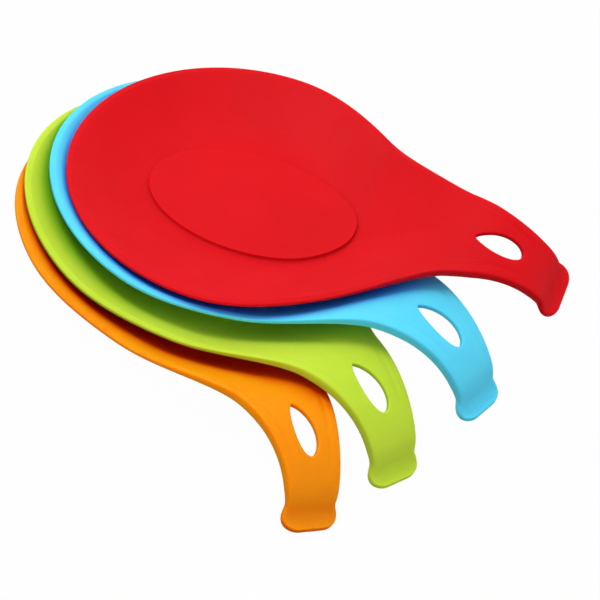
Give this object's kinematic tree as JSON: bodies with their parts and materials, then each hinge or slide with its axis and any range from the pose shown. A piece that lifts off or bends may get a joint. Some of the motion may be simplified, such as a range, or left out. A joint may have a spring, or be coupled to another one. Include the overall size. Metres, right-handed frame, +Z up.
{
  "type": "spoon rest set",
  "caption": "Fanned nested stack of silicone spoon rests, each a shallow bowl with an oval pad and an arched handle with a hanging slot.",
  "frame": {"origin": "on the table under the middle of the bottom rest's bowl", "axes": "+Z up from the table; +X to the picture's right; +Y away from its camera"},
  "size_m": [0.1995, 0.1807, 0.0773],
  "materials": {
    "orange_silicone": "satin moulded silicone rubber, orange",
    "green_silicone": "satin moulded silicone rubber, lime green",
    "blue_silicone": "satin moulded silicone rubber, sky blue",
    "red_silicone": "satin moulded silicone rubber, red"
  },
  "bodies": {
    "orange_body": {"orange_rest": "orange_silicone"},
    "green_body": {"green_rest": "green_silicone"},
    "blue_body": {"blue_rest": "blue_silicone"},
    "red_body": {"red_rest": "red_silicone"}
  },
  "joints": [
    {"name": "green_lift", "type": "slide", "parent": "orange_body", "child": "green_body", "axis": [0, 0, 1], "range_m": [0, 0.06]},
    {"name": "blue_lift", "type": "slide", "parent": "green_body", "child": "blue_body", "axis": [0, 0, 1], "range_m": [0, 0.06]},
    {"name": "red_lift", "type": "slide", "parent": "blue_body", "child": "red_body", "axis": [0, 0, 1], "range_m": [0, 0.06]}
  ]
}
